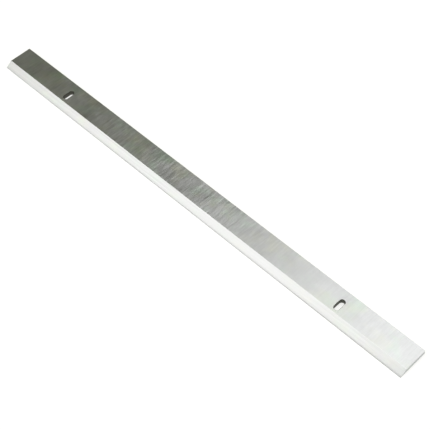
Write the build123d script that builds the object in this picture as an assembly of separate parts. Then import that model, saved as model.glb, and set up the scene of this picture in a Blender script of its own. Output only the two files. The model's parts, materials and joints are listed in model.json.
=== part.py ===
from build123d import *
import math
import os

# A planer knife: one flat bar of ground tool steel that lies on its back face.
# X runs along the knife. The cutting edge is at -Y, the spine at +Y, and the back face is on Z = 0.
# Lengths are in millimetres and angles in degrees.

# The bar
knife_length = 311.15
knife_width = 19.05
knife_thickness = 3.175

# The cutting edge: a main bevel, and a narrow honed bevel below it, both measured from the back face
bevel_angle = 35.0
hone_angle = 50.0
hone_height = 0.4

# The two slots for the clamping screws, which run across the knife so that it can be set forward
slot_spacing = 214.5
slot_length = 7.6
slot_width = 3.4
slot_to_spine = 9.25

# Corners broken by a light touch of the wheel
spine_break = 0.25
slot_break = 0.15


def slope_run(rise, angle):
    """Level distance that a slope covers while it climbs by rise."""
    return rise / math.tan(math.radians(angle))


def draw_section():
    """Outline across the knife, from the cutting edge round the spine and back along the top face."""
    edge_y = -knife_width / 2
    spine_y = knife_width / 2
    hone_top_y = edge_y + slope_run(hone_height, hone_angle)
    bevel_top_y = hone_top_y + slope_run(knife_thickness - hone_height, bevel_angle)
    Polyline(
        (edge_y, 0),
        (spine_y - spine_break, 0),
        (spine_y, spine_break),
        (spine_y, knife_thickness - spine_break),
        (spine_y - spine_break, knife_thickness),
        (bevel_top_y, knife_thickness),
        (hone_top_y, hone_height),
        close=True,
    )


def make_knife():
    """The ground bar with its two slots cut through and their mouths deburred."""
    slot_y = knife_width / 2 - slot_to_spine
    slot_centres = [(side * slot_spacing / 2, slot_y) for side in (-1, 1)]
    with BuildPart() as knife:
        with BuildSketch(Plane.YZ):
            with BuildLine():
                draw_section()
            make_face()
        extrude(amount=knife_length / 2, both=True)
        with BuildSketch(Plane.XY):
            with Locations(*slot_centres):
                SlotOverall(slot_length, slot_width, rotation=90)
        extrude(amount=knife_thickness, mode=Mode.SUBTRACT)
        flat_faces = knife.faces().filter_by(Axis.Z)
        mouths = [mouth for face in flat_faces for mouth in face.inner_wires()]
        chamfer([edge for mouth in mouths for edge in mouth.edges()], slot_break)
    return knife.part


os.makedirs("parts", exist_ok=True)
export_step(make_knife(), "parts/planer_knife.step")
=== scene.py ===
import json
import math

import bmesh
import bpy
from bpy.props import FloatProperty, FloatVectorProperty, IntProperty, PointerProperty
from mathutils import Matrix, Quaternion, Vector


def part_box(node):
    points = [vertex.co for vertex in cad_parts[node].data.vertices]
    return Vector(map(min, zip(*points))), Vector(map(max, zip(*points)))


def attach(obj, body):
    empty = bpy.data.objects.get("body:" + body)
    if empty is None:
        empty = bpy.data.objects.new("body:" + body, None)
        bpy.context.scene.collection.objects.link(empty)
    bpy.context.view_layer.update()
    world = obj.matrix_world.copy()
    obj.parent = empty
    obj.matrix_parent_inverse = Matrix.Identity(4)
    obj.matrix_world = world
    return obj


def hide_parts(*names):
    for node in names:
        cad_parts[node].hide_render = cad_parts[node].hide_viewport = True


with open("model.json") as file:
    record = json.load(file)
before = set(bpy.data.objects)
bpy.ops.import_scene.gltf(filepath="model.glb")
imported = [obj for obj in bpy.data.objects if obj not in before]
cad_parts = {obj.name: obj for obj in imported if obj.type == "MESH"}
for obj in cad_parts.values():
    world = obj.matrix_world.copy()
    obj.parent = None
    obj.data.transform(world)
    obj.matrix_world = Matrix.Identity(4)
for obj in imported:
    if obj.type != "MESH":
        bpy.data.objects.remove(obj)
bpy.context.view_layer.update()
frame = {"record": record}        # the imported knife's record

bl_info = {
    "name": "Planer Knife",
    "version": (1, 0, 0),
    "blender": (4, 5, 0),
    "location": "3D View > Sidebar > Planer Knife",
    "description": "Models a ground planer knife and lays it on a pale studio floor",
    "category": "Add Mesh",
}

NODE = "planer_knife"
BODY = "root"
LOW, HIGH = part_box(NODE)
SCREW_SLOTS = [mount for mount in frame["record"]["mounts"] if mount["kind"] == "bolt_pattern"]
SLOT_PLACES = [Vector(mount["pos_m"]) for mount in SCREW_SLOTS]
MM = 0.001

# Tests on the mesh: a distance that counts as none, and how far a normal points along an axis
TINY = 1e-6
PLATE_NORMAL = 0.999
FACE_NORMAL = 0.98
END_NORMAL = 0.5
SPINE_NORMAL = 0.3
LEAST_TURN = math.radians(10)
SOFT_SEGMENTS = 2

# Noise: its mean value, and the places of the colour sockets of a Mix node
NOISE_MEAN = 0.5
MIX_SHARE, MIX_FIRST, MIX_SECOND, MIX_RESULT = 0, 6, 7, 2

# Grinding marks: noise values between which a patch's marks grow to full strength, and how fine the noise is
PATCH_NOISE_LOW = 0.4
PATCH_NOISE_HIGH = 0.6
PATCH_DETAIL = 1.0
PATCH_ROUGHNESS = 0.5
LINE_DETAIL = 3.0
BAND_DETAIL = 2.0
MARK_ROUGHNESS = 0.6

# Clouds of tint: the two ways that the colour drifts, each hardly at all towards its opposite
GREEN_DRIFT = (-0.4, 0.6, -0.4)
YELLOW_DRIFT = (0.3, 0.3, -0.7)
LEAST_DRIFT = -0.02
CLOUD_DETAIL = 3.0
CLOUD_ROUGHNESS = 0.55
TINT_BESIDE_MARKS = 0.7

# Worn corners, and painted shade at the bevel's foot: noise lumps per metre, how fine it is, how much steel
# colour is rubbed away and shaded
WEAR_AND_SHADE_GRAIN = 900.0
WEAR_AND_SHADE_DETAIL = 3.0
WEAR_AND_SHADE_ROUGHNESS = 0.6
WEAR_AND_SHADE_SHARE = 0.5

# How a surface's steel compares with the ground steel, or with the dark scale and painted shade in the slots
RUBBED = 1.15
# Painted shade: the bevel's steel is drawn darker along its foot by the honed edge and at its ends
PAINTED_BEVEL_SHADE = 0.72
DULL = 0.85
RUBBED_SCALE = 1.6
FAINT_TINT = 0.5

# Directions of the marks: across the faces and a shade off square, along the edges, and down the ends.
# The shift brings the patch with the strongest marks to mid-length.
ACROSS = (0, 0, math.radians(1))
ALONG = (0, 0, math.radians(90))
DOWN = (0, math.radians(90), 0)
PATCH_SHIFT = (2.81, 0, 0)

# The floor, and the distances from the knife between which its glow fades into the backdrop
FLOOR_REACH = 4.0
FLOOR_GAP = 0.02 * MM
FLOOR_ROUGHNESS = 0.9
FLOOR_GLOSS = 0.1
GLOW_BLUE_SHARE = 0.98
FADE_START = 0.4
FADE_END = 1.1

# The lights that the steel mirrors: where each stands and faces, its sides in metres and how bright it looks
SOFTBOXES = {
    "overhead_softbox": {
        "place": (0.49, 0.40, 1.0), "aim": (0.49, 0.40, 0), "size": (1.8, 2.0), "brightness": 1.58,
        "colour": (1, 1, 1),
    },
    "front_softbox": {
        "place": (-0.44, -0.676, 0.669), "aim": (-0.012, 0, 0), "size": (0.93, 0.92), "brightness": 1.53,
        "colour": (1, 0.985, 0.98),
    },
}

# The camera
SENSOR_WIDTH_MM = 36.0
NEAREST_SEEN = 0.01

SURFACES = ("ground_face", "back_face", "ground_bevel", "honed_edge", "spine_edge", "cut_end", "slot_wall")


class KnifeSizes(bpy.types.PropertyGroup):
    """Sizes of the knife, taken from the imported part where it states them."""

    length: FloatProperty(
        name="Length", description="End to end", default=HIGH.x - LOW.x, unit="LENGTH", precision=5,
    )
    width: FloatProperty(
        name="Width", description="Cutting edge to spine", default=HIGH.y - LOW.y, unit="LENGTH",
        precision=5,
    )
    thickness: FloatProperty(
        name="Thickness", description="Back face to top face", default=HIGH.z - LOW.z, unit="LENGTH",
        precision=5,
    )
    bevel_angle: FloatProperty(
        name="Bevel angle", description="Main bevel, from the back face", default=math.radians(35.0),
        subtype="ANGLE",
    )
    hone_angle: FloatProperty(
        name="Hone angle", description="Narrow bevel at the edge, from the back face",
        default=math.radians(50.0), subtype="ANGLE",
    )
    hone_height: FloatProperty(
        name="Hone height", description="Height of the honed bevel", default=0.4 * MM, unit="LENGTH",
        precision=5,
    )
    spine_break: FloatProperty(
        name="Spine break", description="Broken corner along the spine", default=0.25 * MM, unit="LENGTH",
        precision=5,
    )
    slot_length: FloatProperty(
        name="Slot length", description="Screw slot, end to end across the knife",
        default=SCREW_SLOTS[0]["dims"]["slot_length_mm"] * MM, unit="LENGTH", precision=5,
    )
    slot_width: FloatProperty(
        name="Slot width", description="Screw slot, along the knife",
        default=2 * SCREW_SLOTS[0]["dims"]["hole_r_mm"] * MM, unit="LENGTH", precision=5,
    )
    slot_break: FloatProperty(
        name="Slot break", description="Deburred corner round a slot's mouth", default=0.15 * MM,
        unit="LENGTH", precision=5,
    )
    slot_arc_steps: IntProperty(
        name="Slot arc steps", description="Facets round each end of a slot", default=24, min=6, max=64
    )
    slot_collar: FloatProperty(
        name="Slot collar", description="Width of the face that is filled on each side of a slot",
        default=6 * MM, unit="LENGTH", precision=5,
    )
    corner_softness: FloatProperty(
        name="Corner softness", description="Width of the polished line along each corner",
        default=0.05 * MM, unit="LENGTH", precision=6,
    )


class KnifeFinish(bpy.types.PropertyGroup):
    """Colours and grinding marks of the steel."""

    steel: FloatVectorProperty(
        name="Steel", description="Colour of the ground steel", subtype="COLOR", size=3, min=0, max=1,
        default=(0.588, 0.597, 0.604),
    )
    tint_strength: FloatProperty(
        name="Tint strength", description="Strength of the faint clouds of colour on the steel",
        default=0.32, min=0, max=1,
    )
    honed_steel: FloatVectorProperty(
        name="Honed steel", description="Colour of the honed line at the cutting edge", subtype="COLOR",
        size=3, min=0, max=1, default=(0.67, 0.67, 0.70),
    )
    # Painted shade: the slot walls are dark partly for their scale and partly as shade painted inside the
    # slots
    slot_scale_and_shade: FloatVectorProperty(
        name="Slot steel", description="Dark scale left inside the slots", subtype="COLOR", size=3, min=0,
        max=1, default=(0.10, 0.10, 0.085),
    )
    face_roughness: FloatProperty(
        name="Face roughness", description="Roughness of the top and back faces", default=0.35, min=0, max=1
    )
    bevel_roughness: FloatProperty(
        name="Bevel roughness", description="Roughness of the main bevel", default=0.3, min=0, max=1
    )
    line_spacing: FloatProperty(
        name="Line spacing", description="Distance between grinding lines on the faces", default=0.45 * MM,
        unit="LENGTH", precision=6,
    )
    line_depth: FloatProperty(
        name="Line depth", description="Depth of the grinding lines on the faces", default=0.003 * MM,
        unit="LENGTH", precision=7,
    )
    band_width: FloatProperty(
        name="Band width", description="Width of the bands that the wheel left across the faces",
        default=1.3 * MM, unit="LENGTH", precision=6,
    )
    band_depth: FloatProperty(
        name="Band depth", description="Height of those bands", default=0.065 * MM, unit="LENGTH",
        precision=7,
    )


class StudioSetup(bpy.types.PropertyGroup):
    """Floor, room and camera."""

    camera_place: FloatVectorProperty(
        name="Camera place", description="Where the camera stands", subtype="TRANSLATION", size=3,
        default=(0.27985, -0.24917, 0.47484),
    )
    camera_aim: FloatVectorProperty(
        name="Camera aim", description="Point on the floor at the middle of the picture",
        subtype="TRANSLATION", size=3, default=(0.01837, -0.00131, 0.0),
    )
    camera_roll: FloatProperty(
        name="Camera roll", description="Turn of the camera about its own line of sight",
        default=math.radians(2.16), subtype="ANGLE",
    )
    focal_length: FloatProperty(
        name="Focal length", description="Focal length in millimetres on a 36 mm sensor", default=90.33
    )
    floor_colour: FloatVectorProperty(
        name="Floor colour", description="Colour of the floor", subtype="COLOR", size=3, min=0, max=1,
        default=(0.40, 0.40, 0.40),
    )
    floor_glow: FloatProperty(
        name="Floor glow", description="White light from within the floor, which keeps shadows faint",
        default=0.67, min=0, max=1,
    )
    backdrop: FloatVectorProperty(
        name="Backdrop", description="Colour of the room that the camera sees", subtype="COLOR", size=3,
        min=0, max=1, default=(1.0, 1.0, 1.0),
    )
    room_colour: FloatVectorProperty(
        name="Room colour", description="Colour of the unlit room that the steel mirrors", subtype="COLOR",
        size=3, min=0, max=1, default=(0.112, 0.117, 0.076),
    )


def slope_run(rise, angle):
    """Level distance that a slope covers while it climbs by rise."""
    return rise / math.tan(angle)


def section_corners(sizes):
    """Corners of the knife's section as (y, z), from the cutting edge round the spine to the bevel."""
    edge_y = LOW.y
    spine_y = LOW.y + sizes.width
    hone_top_y = edge_y + slope_run(sizes.hone_height, sizes.hone_angle)
    bevel_top_y = hone_top_y + slope_run(sizes.thickness - sizes.hone_height, sizes.bevel_angle)
    return [
        (edge_y, 0),
        (spine_y - sizes.spine_break, 0),
        (spine_y, sizes.spine_break),
        (spine_y, sizes.thickness - sizes.spine_break),
        (spine_y - sizes.spine_break, sizes.thickness),
        (bevel_top_y, sizes.thickness),
        (hone_top_y, sizes.hone_height),
    ]


def draw_bar(bm, sizes):
    """The bar with no slots: its section, drawn out along X."""
    corners = [bm.verts.new((LOW.x, y, z)) for y, z in section_corners(sizes)]
    section = bm.faces.new(corners)
    drawn = bmesh.ops.extrude_face_region(bm, geom=[section])["geom"]
    moved = [part for part in drawn if isinstance(part, bmesh.types.BMVert)]
    bmesh.ops.translate(bm, verts=moved, vec=(sizes.length, 0, 0))
    bmesh.ops.recalc_face_normals(bm, faces=bm.faces)


def soften_corners(bm, sizes):
    """A fine polished line along every long corner and round both ends, but not along the sharp edge."""
    corners = []
    for edge in bm.edges:
        on_cutting_edge = all(vert.co.z < TINY and vert.co.y < LOW.y + TINY for vert in edge.verts)
        if len(edge.link_faces) == 2 and edge.calc_face_angle() > LEAST_TURN and not on_cutting_edge:
            corners.append(edge)
    bmesh.ops.bevel(
        bm, geom=corners, offset=sizes.corner_softness, offset_type="OFFSET", segments=SOFT_SEGMENTS,
        profile=0.5, affect="EDGES", clamp_overlap=True, material=-1,
    )


def slot_loop(bm, place, radius, half_straight, height, steps):
    """One closed ring of edges round a slot: two half circles joined by straight sides."""
    ring, ends = [], []
    for side in (1, -1):
        centre = Vector((place.x, place.y + side * half_straight, height))
        start = bm.verts.new(centre + Vector((side * radius, 0, 0)))
        spun = bmesh.ops.spin(
            bm, geom=[start], cent=centre, axis=(0, 0, 1), dvec=(0, 0, 0), angle=math.pi, steps=steps,
            use_merge=False, use_duplicate=False,
        )
        last = next(part for part in spun["geom_last"] if isinstance(part, bmesh.types.BMVert))
        ends.append((start, last))
        vert = start
        while vert is not last:
            edge = next(e for e in vert.link_edges if e not in ring)
            ring.append(edge)
            vert = edge.other_vert(vert)
    (start_a, last_a), (start_b, last_b) = ends
    ring.append(bm.edges.new((last_a, start_b)))
    ring.append(bm.edges.new((last_b, start_a)))
    return ring


def cut_slot(bm, place, sizes):
    """Opens one slot: its wall, its two deburred mouths, and the faces filled in round them."""
    radius = sizes.slot_width / 2
    half_straight = (sizes.slot_length - sizes.slot_width) / 2
    wide = radius + sizes.slot_break
    for side in (-1, 1):
        cut_x = place.x + side * sizes.slot_collar
        everything = bm.verts[:] + bm.edges[:] + bm.faces[:]
        bmesh.ops.bisect_plane(bm, geom=everything, plane_co=(cut_x, 0, 0), plane_no=(1, 0, 0))
    levels = [
        (wide, 0.0),
        (radius, sizes.slot_break),
        (radius, sizes.thickness - sizes.slot_break),
        (wide, sizes.thickness),
    ]
    plates = [
        face for face in bm.faces
        if abs(face.normal.z) > PLATE_NORMAL
        and abs(face.calc_center_median().x - place.x) < sizes.slot_collar
    ]
    borders = {
        -1: [edge for face in plates if face.normal.z < 0 for edge in face.edges],
        1: [edge for face in plates if face.normal.z > 0 for edge in face.edges],
    }
    bmesh.ops.delete(bm, geom=plates, context="FACES_ONLY")
    rings = [slot_loop(bm, place, r, half_straight, z, sizes.slot_arc_steps) for r, z in levels]
    walls = []
    for lower, upper in zip(rings, rings[1:]):
        walls += bmesh.ops.bridge_loops(bm, edges=lower + upper)["faces"]
    for face in walls:
        face.smooth = True
    for ring in rings:
        for edge in ring:
            edge.smooth = False
    for side, ring in ((-1, rings[0]), (1, rings[-1])):
        bmesh.ops.triangle_fill(
            bm, use_beauty=True, use_dissolve=False, edges=borders[side] + ring, normal=(0, 0, side)
        )


def slope_normal(angle):
    """The outward normal of a bevel that rises at this angle from the back face."""
    return Vector((0, -math.sin(angle), math.cos(angle)))


def lies_in_slot(centre, sizes):
    """Whether a face's centre is within the mouth of one of the slots."""
    half_mouth = sizes.slot_length / 2 + sizes.slot_break
    return any(
        abs(centre.x - place.x) < sizes.slot_width and abs(centre.y - place.y) < half_mouth
        for place in SLOT_PLACES
    )


def name_surfaces(bm, sizes):
    """Gives each face the finish of the surface that it belongs to."""
    bevel_normal = slope_normal(sizes.bevel_angle)
    hone_normal = slope_normal(sizes.hone_angle)
    for face in bm.faces:
        normal = face.normal
        if abs(normal.z) > FACE_NORMAL:
            surface = "ground_face" if normal.z > 0 else "back_face"
        elif lies_in_slot(face.calc_center_median(), sizes):
            surface = "slot_wall"
        elif abs(normal.x) > END_NORMAL:
            surface = "cut_end"
        elif normal.y > SPINE_NORMAL:
            surface = "spine_edge"
        elif normal.angle(hone_normal) < normal.angle(bevel_normal):
            surface = "honed_edge"
        else:
            surface = "ground_bevel"
        face.material_index = SURFACES.index(surface)


def new_group(name, inputs, outputs):
    """An empty shader node group with named sockets. Returns its tree, input node and output node."""
    tree = bpy.data.node_groups.new(name, "ShaderNodeTree")
    for label, kind, value in inputs:
        socket = tree.interface.new_socket(name=label, in_out="INPUT", socket_type=kind)
        if value is not None:
            socket.default_value = value
    for label, kind in outputs:
        tree.interface.new_socket(name=label, in_out="OUTPUT", socket_type=kind)
    return tree, tree.nodes.new("NodeGroupInput"), tree.nodes.new("NodeGroupOutput")


def add_node(tree, kind, inputs=None, **settings):
    """A node with its settings. Each input, by its name or its place, gets a value or a link."""
    node = tree.nodes.new(kind)
    for name, value in settings.items():
        setattr(node, name, value)
    for key, value in (inputs or {}).items():
        if isinstance(value, bpy.types.NodeSocket):
            tree.links.new(value, node.inputs[key])
        else:
            node.inputs[key].default_value = value
    return node


def add_math(tree, operation, first, second=0.0, clamp=False):
    """A Math node's result."""
    inputs = {0: first, 1: second}
    return add_node(tree, "ShaderNodeMath", inputs, operation=operation, use_clamp=clamp).outputs[0]


def add_vector_math(tree, operation, first, second=(0, 0, 0)):
    """A Vector Math node's result."""
    return add_node(tree, "ShaderNodeVectorMath", {0: first, 1: second}, operation=operation).outputs[0]


def add_noise(tree, vector, detail, roughness, scale=1.0):
    """A Noise Texture's outputs: its grey value and its colour."""
    inputs = {"Vector": vector, "Scale": scale, "Detail": detail, "Roughness": roughness}
    return add_node(tree, "ShaderNodeTexNoise", inputs).outputs


def add_range(tree, value, low, high, least=0.0):
    """The value's share of the way from low to high, from least up to 1."""
    inputs = {"Value": value, "From Min": low, "From Max": high, "To Min": least}
    return add_node(tree, "ShaderNodeMapRange", inputs).outputs[0]


def add_mix(tree, share, first, second):
    """The first colour, with the second one's share mixed in."""
    inputs = {MIX_SHARE: share, MIX_FIRST: first, MIX_SECOND: second}
    return add_node(tree, "ShaderNodeMix", inputs, data_type="RGBA").outputs[MIX_RESULT]


def repeat(tree, value):
    """A vector that holds one value three times."""
    return add_node(tree, "ShaderNodeCombineXYZ", {"X": value, "Y": value, "Z": value}).outputs[0]


def make_grind_group():
    """Lines and bands left by a grinding wheel, which run along Y and follow each other along X."""
    tree, given, result = new_group(
        "grind_marks",
        [
            ("Vector", "NodeSocketVector", None),
            ("Line Spacing", "NodeSocketFloat", 0.0003),
            ("Line Length", "NodeSocketFloat", 0.03),
            ("Line Depth", "NodeSocketFloat", 0.000001),
            ("Band Width", "NodeSocketFloat", 0.002),
            ("Band Depth", "NodeSocketFloat", 0.00001),
            ("Patch Size", "NodeSocketFloat", 0.05),
            ("Least Strength", "NodeSocketFloat", 0.15),
        ],
        [
            ("Height", "NodeSocketFloat"),
            ("Lines", "NodeSocketFloat"),
            ("Bands", "NodeSocketFloat"),
            ("Strength", "NodeSocketFloat"),
        ],
    )
    vector, length = given.outputs["Vector"], given.outputs["Line Length"]
    in_patches = add_vector_math(tree, "DIVIDE", vector, repeat(tree, given.outputs["Patch Size"]))
    patches = add_noise(tree, in_patches, PATCH_DETAIL, PATCH_ROUGHNESS)[0]
    least = given.outputs["Least Strength"]
    strength = add_range(tree, patches, PATCH_NOISE_LOW, PATCH_NOISE_HIGH, least)
    tree.links.new(strength, result.inputs["Strength"])
    heights = []
    for label, width, depth, detail in (
        ("Lines", "Line Spacing", "Line Depth", LINE_DETAIL),
        ("Bands", "Band Width", "Band Depth", BAND_DETAIL),
    ):
        size = add_node(tree, "ShaderNodeCombineXYZ", {"X": given.outputs[width], "Y": length, "Z": length})
        in_marks = add_vector_math(tree, "DIVIDE", vector, size.outputs[0])
        noise = add_noise(tree, in_marks, detail, MARK_ROUGHNESS)[0]
        marks = add_math(tree, "MULTIPLY", add_math(tree, "SUBTRACT", noise, NOISE_MEAN), strength)
        tree.links.new(marks, result.inputs[label])
        heights.append(add_math(tree, "MULTIPLY", marks, given.outputs[depth]))
    tree.links.new(add_math(tree, "ADD", *heights), result.inputs["Height"])
    return tree


def make_cloud_group():
    """Soft clouds of tint and relief, such as faint temper colours and a wheel's uneven touch."""
    tree, given, result = new_group(
        "soft_clouds",
        [
            ("Vector", "NodeSocketVector", None),
            ("Cloud Size", "NodeSocketFloat", 0.01),
            ("Colour", "NodeSocketColor", (0.5, 0.5, 0.5, 1)),
            ("Strength", "NodeSocketFloat", 0.1),
        ],
        [("Colour", "NodeSocketColor"), ("Mask", "NodeSocketFloat")],
    )
    in_clouds = add_vector_math(
        tree, "DIVIDE", given.outputs["Vector"], repeat(tree, given.outputs["Cloud Size"])
    )
    noise = add_noise(tree, in_clouds, CLOUD_DETAIL, CLOUD_ROUGHNESS)
    drift = add_vector_math(tree, "SUBTRACT", noise["Color"], (NOISE_MEAN, NOISE_MEAN, NOISE_MEAN))
    parts = add_node(tree, "ShaderNodeSeparateXYZ", {"Vector": drift}).outputs
    hues = []
    for part, hue in ((parts[1], GREEN_DRIFT), (parts[2], YELLOW_DRIFT)):
        amount = repeat(tree, add_math(tree, "MAXIMUM", part, LEAST_DRIFT))
        hues.append(add_vector_math(tree, "MULTIPLY", amount, hue))
    strengths = repeat(tree, given.outputs["Strength"])
    tint = add_vector_math(tree, "MULTIPLY", add_vector_math(tree, "ADD", *hues), strengths)
    change = add_vector_math(tree, "ADD", tint, (1, 1, 1))
    tinted = add_vector_math(tree, "MULTIPLY", given.outputs["Colour"], change)
    tree.links.new(tinted, result.inputs["Colour"])
    tree.links.new(noise[0], result.inputs["Mask"])
    return tree


def make_wear_and_shade_group():
    """A mask that is 1 along the corners of a box and fades out over Reach, broken up by noise."""
    tree, given, result = new_group(
        "wear_and_shade_corners",
        [
            ("Vector", "NodeSocketVector", None),
            ("Low Corner", "NodeSocketVector", (-1, -1, -1)),
            ("High Corner", "NodeSocketVector", (1, 1, 1)),
            ("Reach", "NodeSocketFloat", 0.0005),
        ],
        [("Mask", "NodeSocketFloat")],
    )
    place = given.outputs["Vector"]
    from_low = add_vector_math(tree, "SUBTRACT", place, given.outputs["Low Corner"])
    from_high = add_vector_math(tree, "SUBTRACT", given.outputs["High Corner"], place)
    nearest = add_vector_math(tree, "MINIMUM", from_low, from_high)
    parts = add_node(tree, "ShaderNodeSeparateXYZ", {"Vector": nearest}).outputs
    least_xy = add_math(tree, "MINIMUM", parts[0], parts[1])
    most_xy = add_math(tree, "MAXIMUM", parts[0], parts[1])
    middle = add_math(tree, "MAXIMUM", least_xy, add_math(tree, "MINIMUM", most_xy, parts[2]))
    noise = add_noise(tree, place, WEAR_AND_SHADE_DETAIL, WEAR_AND_SHADE_ROUGHNESS, WEAR_AND_SHADE_GRAIN)[0]
    around_one = add_math(tree, "MULTIPLY", noise, 1 / NOISE_MEAN)
    reach = add_math(tree, "MULTIPLY", given.outputs["Reach"], around_one)
    mask = add_math(tree, "SUBTRACT", 1.0, add_math(tree, "DIVIDE", middle, reach), clamp=True)
    tree.links.new(mask, result.inputs["Mask"])
    return tree


def place_group(tree, group, inputs):
    """A group node's outputs, with its own values."""
    return add_node(tree, "ShaderNodeGroup", inputs, node_tree=group).outputs


def steel_material(name, groups, look):
    """Ground steel: grinding marks, clouds and worn corners drive its colour, roughness and relief; on the
    bevel the corner mask paints shade along its foot.
    """
    material = bpy.data.materials.new(name)
    material.use_nodes = True
    tree = material.node_tree
    tree.nodes.clear()
    output = tree.nodes.new("ShaderNodeOutputMaterial")
    shader = add_node(tree, "ShaderNodeBsdfPrincipled", {"Metallic": 1.0})
    tree.links.new(shader.outputs["BSDF"], output.inputs["Surface"])

    place = tree.nodes.new("ShaderNodeTexCoord").outputs["Object"]
    turned = add_node(
        tree, "ShaderNodeMapping", {"Vector": place, "Rotation": look["turn"], "Location": look["shift"]}
    ).outputs[0]
    marks = place_group(
        tree,
        groups["grind"],
        {
            "Vector": turned, "Line Spacing": look["line_spacing"], "Line Length": look["line_length"],
            "Line Depth": look["line_depth"], "Band Width": look["band_width"],
            "Band Depth": look["band_depth"], "Patch Size": look["patch_size"],
        },
    )
    tinted = add_math(tree, "ADD", marks["Strength"], TINT_BESIDE_MARKS)
    clouds = place_group(
        tree,
        groups["cloud"],
        {
            "Vector": place, "Cloud Size": look["cloud_size"], "Colour": (*look["colour"], 1),
            "Strength": add_math(tree, "MULTIPLY", tinted, look["tint"]),
        },
    )
    wear_and_shade = place_group(
        tree,
        groups["wear_and_shade"],
        {
            "Vector": place, "Low Corner": look["low"], "High Corner": look["high"],
            "Reach": look["wear_and_shade_reach"],
        },
    )

    line_shade = add_math(tree, "MULTIPLY", marks["Lines"], look["line_shade"])
    band_shade = add_math(tree, "MULTIPLY", marks["Bands"], look["band_shade"])
    cloudy = add_math(tree, "SUBTRACT", clouds["Mask"], NOISE_MEAN)
    cloud_shade = add_math(tree, "MULTIPLY", cloudy, look["cloud_shade"])
    marks_shade = add_math(tree, "ADD", line_shade, band_shade)
    shade = add_math(tree, "ADD", add_math(tree, "ADD", marks_shade, cloud_shade), 1.0)
    shaded = add_vector_math(tree, "MULTIPLY", clouds["Colour"], repeat(tree, shade))
    # The corner mask mixes in worn steel at corners, and painted shade along the bevel's foot
    wear_and_shade_share = add_math(tree, "MULTIPLY", wear_and_shade["Mask"], WEAR_AND_SHADE_SHARE)
    tree.links.new(add_mix(tree, wear_and_shade_share, shaded, (*look["worn_and_shaded"], 1)), shader.inputs["Base Color"])

    rough_marks = add_math(tree, "MULTIPLY", marks["Bands"], look["band_roughness"])
    rough_clouds = add_math(tree, "MULTIPLY", cloudy, look["cloud_roughness"])
    roughness = add_math(tree, "ADD", add_math(tree, "ADD", rough_marks, rough_clouds), look["roughness"])
    polished = add_math(tree, "MULTIPLY", wear_and_shade["Mask"], look["wear_polish"])
    tree.links.new(add_math(tree, "SUBTRACT", roughness, polished, clamp=True), shader.inputs["Roughness"])

    waves = add_node(tree, "ShaderNodeBump", {"Height": clouds["Mask"], "Distance": look["wave_depth"]})
    relief = {"Height": marks["Height"], "Distance": 1.0, "Normal": waves.outputs[0]}
    tree.links.new(add_node(tree, "ShaderNodeBump", relief).outputs[0], shader.inputs["Normal"])
    return material


def shaded_steel(colour, factor):
    """A colour made darker or lighter, up to full white."""
    return [min(1, factor * part) for part in colour]


def knife_looks(sizes, finish):
    """What differs between the knife's surfaces. Lengths are in metres."""
    *_, (bevel_top_y, _), (hone_top_y, _) = section_corners(sizes)
    shared = {
        "colour": finish.steel, "worn_and_shaded": shaded_steel(finish.steel, RUBBED), "tint": finish.tint_strength,
        "line_length": 8 * MM, "line_shade": 0.52,
        "band_width": finish.band_width, "band_depth": finish.band_depth, "band_shade": 0.65,
        "band_roughness": 0.09, "patch_size": 150 * MM, "shift": (0, 0, 0),
        "cloud_size": 11 * MM, "cloud_shade": 0.3, "cloud_roughness": 0.08, "wave_depth": 0.05 * MM,
        "wear_and_shade_reach": 0.25 * MM, "wear_polish": 0.08, "low": LOW, "high": HIGH,
    }
    face = {
        **shared, "turn": ACROSS, "shift": PATCH_SHIFT, "line_spacing": finish.line_spacing,
        "line_depth": finish.line_depth, "roughness": finish.face_roughness,
    }
    faint_tint = FAINT_TINT * finish.tint_strength
    return {
        "ground_face": {**face, "low": (LOW.x, bevel_top_y, LOW.z)},
        "back_face": face,
        "ground_bevel": {
            **shared, "turn": ALONG, "tint": faint_tint, "roughness": finish.bevel_roughness,
            "line_spacing": 0.15 * MM, "line_depth": 0.0005 * MM, "line_length": 40 * MM, "line_shade": 0.6,
            "band_width": 0.8 * MM, "band_depth": 0.002 * MM, "band_shade": 0.3,
            "cloud_size": 9 * MM, "cloud_shade": 0.06,
            # Painted shade: darker steel along the bevel's foot by the honed edge, where the corner mask
            # reaches in
            "worn_and_shaded": shaded_steel(finish.steel, PAINTED_BEVEL_SHADE), "wear_and_shade_reach": 0.8 * MM, "wear_polish": 0,
            "low": (LOW.x, hone_top_y, sizes.hone_height),
        },
        "honed_edge": {
            **shared, "colour": finish.honed_steel, "turn": ALONG, "tint": faint_tint, "roughness": 0.6,
            "line_spacing": 0.08 * MM, "line_depth": 0.0003 * MM,
            "band_width": 0.3 * MM, "band_depth": 0.0005 * MM,
        },
        "spine_edge": {
            **shared, "turn": ALONG, "roughness": 0.38, "line_spacing": 0.2 * MM, "line_depth": 0.002 * MM,
            "band_width": 0.7 * MM, "band_depth": 0.003 * MM,
        },
        "cut_end": {
            **shared, "colour": shaded_steel(finish.steel, DULL), "worn_and_shaded": finish.steel,
            "turn": DOWN, "roughness": 0.42,
            "line_spacing": 0.25 * MM, "line_depth": 0.004 * MM, "line_length": 12 * MM,
            "band_width": 1.1 * MM, "band_depth": 0.006 * MM,
        },
        # Painted shade: the walls' dark colour is their scale together with shade painted inside the slot
        "slot_wall": {
            **shared, "colour": finish.slot_scale_and_shade, "worn_and_shaded": shaded_steel(finish.slot_scale_and_shade, RUBBED_SCALE),
            "turn": (0, 0, 0), "roughness": 0.55,
            "line_spacing": 0.3 * MM, "line_depth": 0.01 * MM, "line_length": 3 * MM,
            "band_width": 1.0 * MM, "band_depth": 0.01 * MM, "cloud_size": 2 * MM,
        },
    }


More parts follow.
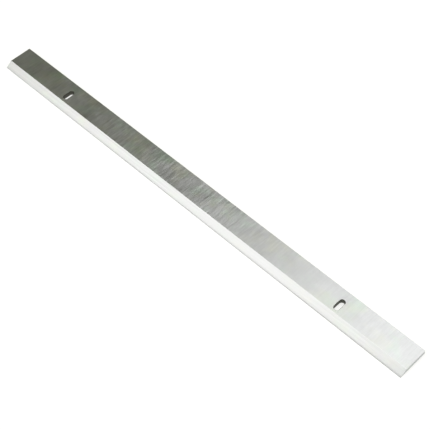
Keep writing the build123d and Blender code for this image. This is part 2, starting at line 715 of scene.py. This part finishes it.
class PLANERKNIFE_OT_make_knife(bpy.types.Operator):
    """Model the knife and give its surfaces their ground finishes"""

    bl_idname = "planer_knife.make_knife"
    bl_label = "Make Knife"

    def execute(self, context):
        sizes, finish = context.scene.knife_sizes, context.scene.knife_finish
        bm = bmesh.new()
        draw_bar(bm, sizes)
        soften_corners(bm, sizes)
        for place in SLOT_PLACES:
            cut_slot(bm, place, sizes)
        bmesh.ops.recalc_face_normals(bm, faces=bm.faces)
        name_surfaces(bm, sizes)
        mesh = bpy.data.meshes.new("ground_knife")
        bm.to_mesh(mesh)
        bm.free()
        knife = bpy.data.objects.new("ground_knife", mesh)
        context.scene.collection.objects.link(knife)
        groups = {"grind": make_grind_group(), "cloud": make_cloud_group(), "wear_and_shade": make_wear_and_shade_group()}
        looks = knife_looks(sizes, finish)
        for surface in SURFACES:
            mesh.materials.append(steel_material(surface, groups, looks[surface]))
        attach(knife, BODY)
        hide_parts(NODE)
        return {"FINISHED"}


def add_softbox(name, place, aim, size, brightness, colour):
    """A rectangular light of even brightness that faces aim."""
    light = bpy.data.lights.new(name, "AREA")
    light.color = colour
    light.shape = "RECTANGLE"
    light.size, light.size_y = size
    light.energy = brightness * math.pi * size[0] * size[1]
    box = bpy.data.objects.new(name, light)
    box.location = place
    box.rotation_euler = (Vector(aim) - Vector(place)).to_track_quat("-Z", "Y").to_euler()
    bpy.context.scene.collection.objects.link(box)


class PLANERKNIFE_OT_set_studio(bpy.types.Operator):
    """Lay the pale floor, hang the soft lights and stand the camera"""

    bl_idname = "planer_knife.set_studio"
    bl_label = "Set Studio"

    def execute(self, context):
        setup = context.scene.studio_setup
        self.lay_floor(context, setup)
        self.light_room(context, setup)
        for name, softbox in SOFTBOXES.items():
            add_softbox(name, **softbox)
        self.stand_camera(context, setup)
        return {"FINISHED"}

    def lay_floor(self, context, setup):
        """A plain pale floor, a hair below the back face."""
        bm = bmesh.new()
        bmesh.ops.create_grid(bm, x_segments=1, y_segments=1, size=FLOOR_REACH)
        bmesh.ops.translate(bm, verts=bm.verts, vec=(0, 0, -FLOOR_GAP))
        mesh = bpy.data.meshes.new("floor")
        bm.to_mesh(mesh)
        bm.free()
        floor = bpy.data.objects.new("floor", mesh)
        context.scene.collection.objects.link(floor)
        mesh.materials.append(self.floor_material(setup))

    def floor_material(self, setup):
        """Matt and pale, with a glow that fades into the backdrop far from the knife."""
        material = bpy.data.materials.new("pale_floor")
        material.use_nodes = True
        tree = material.node_tree
        shader = tree.nodes["Principled BSDF"]
        shader.inputs["Base Color"].default_value = (*setup.floor_colour, 1)
        shader.inputs["Roughness"].default_value = FLOOR_ROUGHNESS
        shader.inputs["Specular IOR Level"].default_value = FLOOR_GLOSS
        place = tree.nodes.new("ShaderNodeTexCoord").outputs["Object"]
        distance = add_node(tree, "ShaderNodeVectorMath", {0: place}, operation="LENGTH").outputs["Value"]
        share = add_range(tree, distance, FADE_START, FADE_END)
        near = (setup.floor_glow, setup.floor_glow, GLOW_BLUE_SHARE * setup.floor_glow, 1)
        glow = add_mix(tree, share, near, (*setup.backdrop, 1))
        tree.links.new(glow, shader.inputs["Emission Color"])
        shader.inputs["Emission Strength"].default_value = 1.0
        return material

    def light_room(self, context, setup):
        """The room is dim in the steel and as pale as the floor to the camera."""
        world = bpy.data.worlds.new("studio_room")
        world.use_nodes = True
        tree = world.node_tree
        tree.nodes.clear()
        output = tree.nodes.new("ShaderNodeOutputWorld")
        dim, pale = (
            add_node(tree, "ShaderNodeBackground", {"Color": (*colour, 1), "Strength": 1.0}).outputs[0]
            for colour in (setup.room_colour, setup.backdrop)
        )
        seen = tree.nodes.new("ShaderNodeLightPath").outputs["Is Camera Ray"]
        mixed = add_node(tree, "ShaderNodeMixShader", {0: seen, 1: dim, 2: pale})
        tree.links.new(mixed.outputs[0], output.inputs["Surface"])
        context.scene.world = world
        context.scene.view_settings.view_transform = "Standard"

    def stand_camera(self, context, setup):
        """The camera at the photograph's viewing angle."""
        lens = bpy.data.cameras.new("camera")
        lens.sensor_width = SENSOR_WIDTH_MM
        lens.lens = setup.focal_length
        lens.clip_start = NEAREST_SEEN
        camera = bpy.data.objects.new("camera", lens)
        sight = Vector(setup.camera_aim) - Vector(setup.camera_place)
        camera.location = setup.camera_place
        camera.rotation_mode = "QUATERNION"
        roll = Quaternion(sight.normalized(), setup.camera_roll)
        camera.rotation_quaternion = roll @ sight.to_track_quat("-Z", "Y")
        context.scene.collection.objects.link(camera)
        context.scene.camera = camera


class PLANERKNIFE_PT_panel(bpy.types.Panel):
    """Lists the steps and the sizes that a user would change"""

    bl_idname = "PLANERKNIFE_PT_panel"
    bl_label = "Planer Knife"
    bl_space_type = "VIEW_3D"
    bl_region_type = "UI"
    bl_category = "Planer Knife"

    def draw(self, context):
        layout = self.layout
        scene = context.scene
        for operator in OPERATORS:
            layout.operator(operator.bl_idname)
        for group in (scene.knife_sizes, scene.knife_finish, scene.studio_setup):
            box = layout.box()
            for name in type(group).__annotations__:
                box.prop(group, name)


OPERATORS = (PLANERKNIFE_OT_make_knife, PLANERKNIFE_OT_set_studio)
GROUPS = {"knife_sizes": KnifeSizes, "knife_finish": KnifeFinish, "studio_setup": StudioSetup}
CLASSES = (*GROUPS.values(), *OPERATORS, PLANERKNIFE_PT_panel)


def register():
    for cls in CLASSES:
        bpy.utils.register_class(cls)
    for name, group in GROUPS.items():
        setattr(bpy.types.Scene, name, PointerProperty(type=group))


def unregister():
    for name in GROUPS:
        delattr(bpy.types.Scene, name)
    for cls in reversed(CLASSES):
        bpy.utils.unregister_class(cls)


def main():
    register()
    bpy.ops.planer_knife.make_knife()
    bpy.ops.planer_knife.set_studio()


if __name__ == "__main__":
    main()
